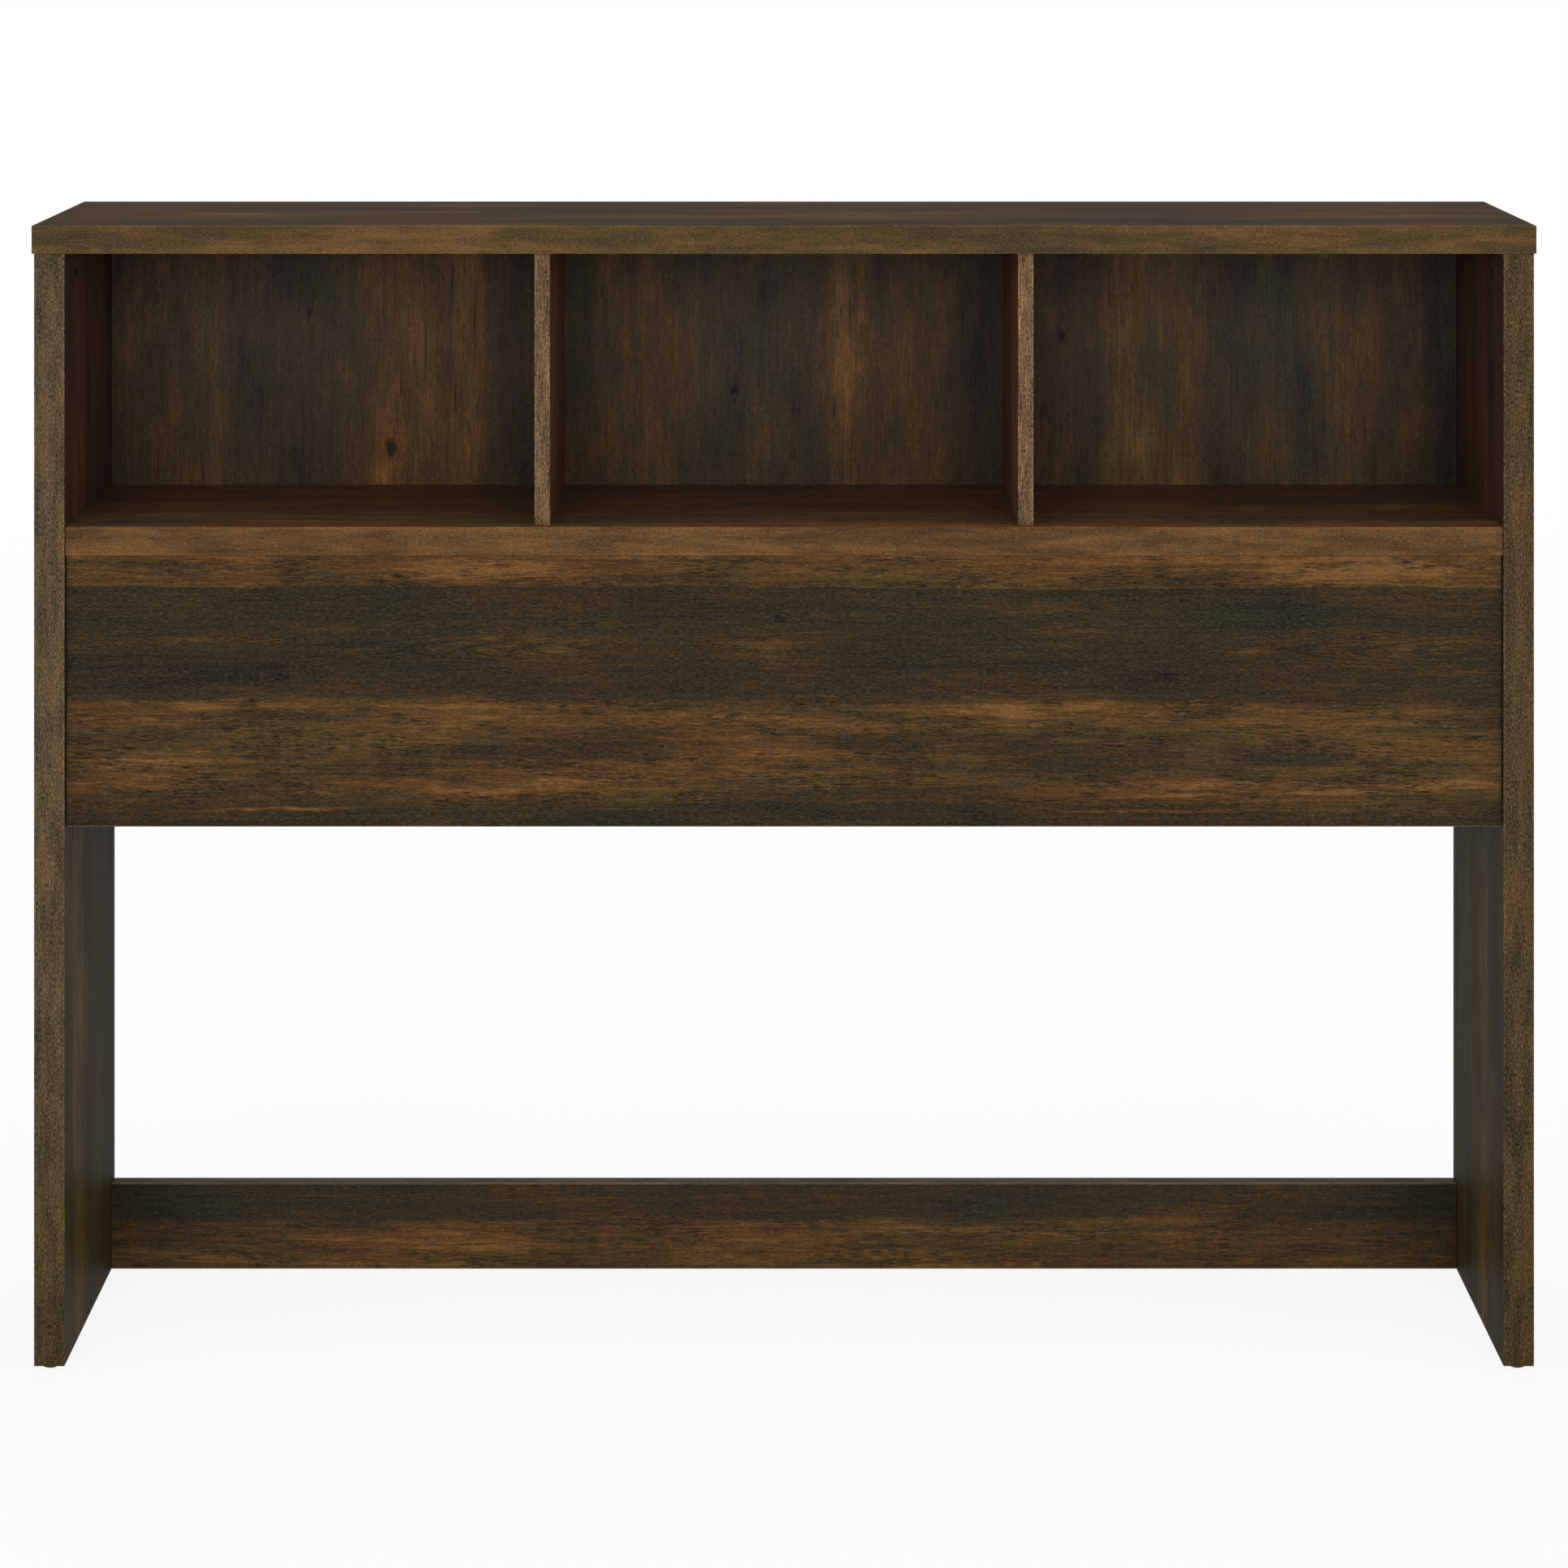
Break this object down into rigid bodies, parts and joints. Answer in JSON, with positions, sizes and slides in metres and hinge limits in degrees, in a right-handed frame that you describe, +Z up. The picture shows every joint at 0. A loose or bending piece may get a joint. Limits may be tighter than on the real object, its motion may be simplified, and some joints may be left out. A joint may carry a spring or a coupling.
{
  "type": "bookcase headboard",
  "caption": "Bookcase headboard, also usable as a desk hutch: open cubbies over a front panel, on two panel ends joined by a low rear stretcher.",
  "frame": {"origin": "on the floor at the middle of the footprint", "axes": "+X to the right seen from the front, +Y towards the rear (the open front faces -Y), +Z up"},
  "size_m": [1.486, 0.23, 1.13],
  "materials": {
    "walnut_laminate": "satin dark rustic walnut printed laminate on particle board",
    "edge_band": "satin printed edge band, lighter than the faces",
    "back_board": "printed hardboard, satin in front and raw behind",
    "cam_metal": "die-cast zinc, bronzed dark brown",
    "bolt_steel": "zinc-plated steel",
    "screw_steel": "yellow zinc-plated steel",
    "dowel_wood": "beech",
    "glide_plastic": "dark brown moulded plastic"
  },
  "bodies": {
    "carcass": {"top_panel": "walnut_laminate", "left_side_panel": "walnut_laminate", "right_side_panel": "walnut_laminate", "shelf_panel": "walnut_laminate", "left_divider": "walnut_laminate", "right_divider": "walnut_laminate", "front_panel": "walnut_laminate", "rear_stretcher": "walnut_laminate", "back_panel": "back_board", "top_front_band": "edge_band", "top_left_band": "edge_band", "top_right_band": "edge_band", "left_side_band": "edge_band", "right_side_band": "edge_band", "shelf_band": "edge_band", "left_divider_band": "edge_band", "right_divider_band": "edge_band", "front_panel_band": "edge_band", "stretcher_band": "edge_band", "left_front_glide": "glide_plastic", "left_rear_glide": "glide_plastic", "right_front_glide": "glide_plastic", "right_rear_glide": "glide_plastic", "left_front_top_bolt": "bolt_steel", "left_front_shelf_bolt": "bolt_steel", "left_rear_top_bolt": "bolt_steel", "left_rear_shelf_bolt": "bolt_steel", "left_upper_panel_bolt": "bolt_steel", "left_lower_panel_bolt": "bolt_steel", "left_stretcher_bolt": "bolt_steel", "right_front_top_bolt": "bolt_steel", "right_front_shelf_bolt": "bolt_steel", "right_rear_top_bolt": "bolt_steel", "right_rear_shelf_bolt": "bolt_steel", "right_upper_panel_bolt": "bolt_steel", "right_lower_panel_bolt": "bolt_steel", "right_stretcher_bolt": "bolt_steel", "left_divider_front_dowel": "dowel_wood", "left_divider_rear_dowel": "dowel_wood", "right_divider_front_dowel": "dowel_wood", "right_divider_rear_dowel": "dowel_wood", "left_stretcher_dowel": "dowel_wood", "right_stretcher_dowel": "dowel_wood", "left_divider_screw": "screw_steel", "right_divider_screw": "screw_steel"},
    "left_front_top_cam": {"left_front_top_cam": "cam_metal"},
    "left_front_shelf_cam": {"left_front_shelf_cam": "cam_metal"},
    "left_rear_top_cam": {"left_rear_top_cam": "cam_metal"},
    "left_rear_shelf_cam": {"left_rear_shelf_cam": "cam_metal"},
    "left_upper_panel_cam": {"left_upper_panel_cam": "cam_metal"},
    "left_lower_panel_cam": {"left_lower_panel_cam": "cam_metal"},
    "left_stretcher_cam": {"left_stretcher_cam": "cam_metal"},
    "right_front_top_cam": {"right_front_top_cam": "cam_metal"},
    "right_front_shelf_cam": {"right_front_shelf_cam": "cam_metal"},
    "right_rear_top_cam": {"right_rear_top_cam": "cam_metal"},
    "right_rear_shelf_cam": {"right_rear_shelf_cam": "cam_metal"},
    "right_upper_panel_cam": {"right_upper_panel_cam": "cam_metal"},
    "right_lower_panel_cam": {"right_lower_panel_cam": "cam_metal"},
    "right_stretcher_cam": {"right_stretcher_cam": "cam_metal"}
  },
  "joints": [
    {"name": "left_front_top_cam_turn", "type": "hinge", "parent": "carcass", "child": "left_front_top_cam", "pos_m": [-0.7105, -0.065, 1.078], "axis": [1, 0, 0], "range_deg": [0, 180]},
    {"name": "left_front_shelf_cam_turn", "type": "hinge", "parent": "carcass", "child": "left_front_shelf_cam", "pos_m": [-0.6865, -0.065, 0.804], "axis": [0, 0, -1], "range_deg": [0, 180]},
    {"name": "left_rear_top_cam_turn", "type": "hinge", "parent": "carcass", "child": "left_rear_top_cam", "pos_m": [-0.7105, 0.065, 1.078], "axis": [1, 0, 0], "range_deg": [0, 180]},
    {"name": "left_rear_shelf_cam_turn", "type": "hinge", "parent": "carcass", "child": "left_rear_shelf_cam", "pos_m": [-0.6865, 0.065, 0.804], "axis": [0, 0, -1], "range_deg": [0, 180]},
    {"name": "left_upper_panel_cam_turn", "type": "hinge", "parent": "carcass", "child": "left_upper_panel_cam", "pos_m": [-0.6865, -0.0945, 0.7587], "axis": [0, 1, 0], "range_deg": [0, 180]},
    {"name": "left_lower_panel_cam_turn", "type": "hinge", "parent": "carcass", "child": "left_lower_panel_cam", "pos_m": [-0.6865, -0.0945, 0.58], "axis": [0, 1, 0], "range_deg": [0, 180]},
    {"name": "left_stretcher_cam_turn", "type": "hinge", "parent": "carcass", "child": "left_stretcher_cam", "pos_m": [-0.6865, 0.115, 0.064], "axis": [0, 1, 0], "range_deg": [0, 180]},
    {"name": "right_front_top_cam_turn", "type": "hinge", "parent": "carcass", "child": "right_front_top_cam", "pos_m": [0.7105, -0.065, 1.078], "axis": [-1, 0, 0], "range_deg": [0, 180]},
    {"name": "right_front_shelf_cam_turn", "type": "hinge", "parent": "carcass", "child": "right_front_shelf_cam", "pos_m": [0.6865, -0.065, 0.804], "axis": [0, 0, -1], "range_deg": [0, 180]},
    {"name": "right_rear_top_cam_turn", "type": "hinge", "parent": "carcass", "child": "right_rear_top_cam", "pos_m": [0.7105, 0.065, 1.078], "axis": [-1, 0, 0], "range_deg": [0, 180]},
    {"name": "right_rear_shelf_cam_turn", "type": "hinge", "parent": "carcass", "child": "right_rear_shelf_cam", "pos_m": [0.6865, 0.065, 0.804], "axis": [0, 0, -1], "range_deg": [0, 180]},
    {"name": "right_upper_panel_cam_turn", "type": "hinge", "parent": "carcass", "child": "right_upper_panel_cam", "pos_m": [0.6865, -0.0945, 0.7587], "axis": [0, 1, 0], "range_deg": [0, 180]},
    {"name": "right_lower_panel_cam_turn", "type": "hinge", "parent": "carcass", "child": "right_lower_panel_cam", "pos_m": [0.6865, -0.0945, 0.58], "axis": [0, 1, 0], "range_deg": [0, 180]},
    {"name": "right_stretcher_cam_turn", "type": "hinge", "parent": "carcass", "child": "right_stretcher_cam", "pos_m": [0.6865, 0.115, 0.064], "axis": [0, 1, 0], "range_deg": [0, 180]}
  ]
}
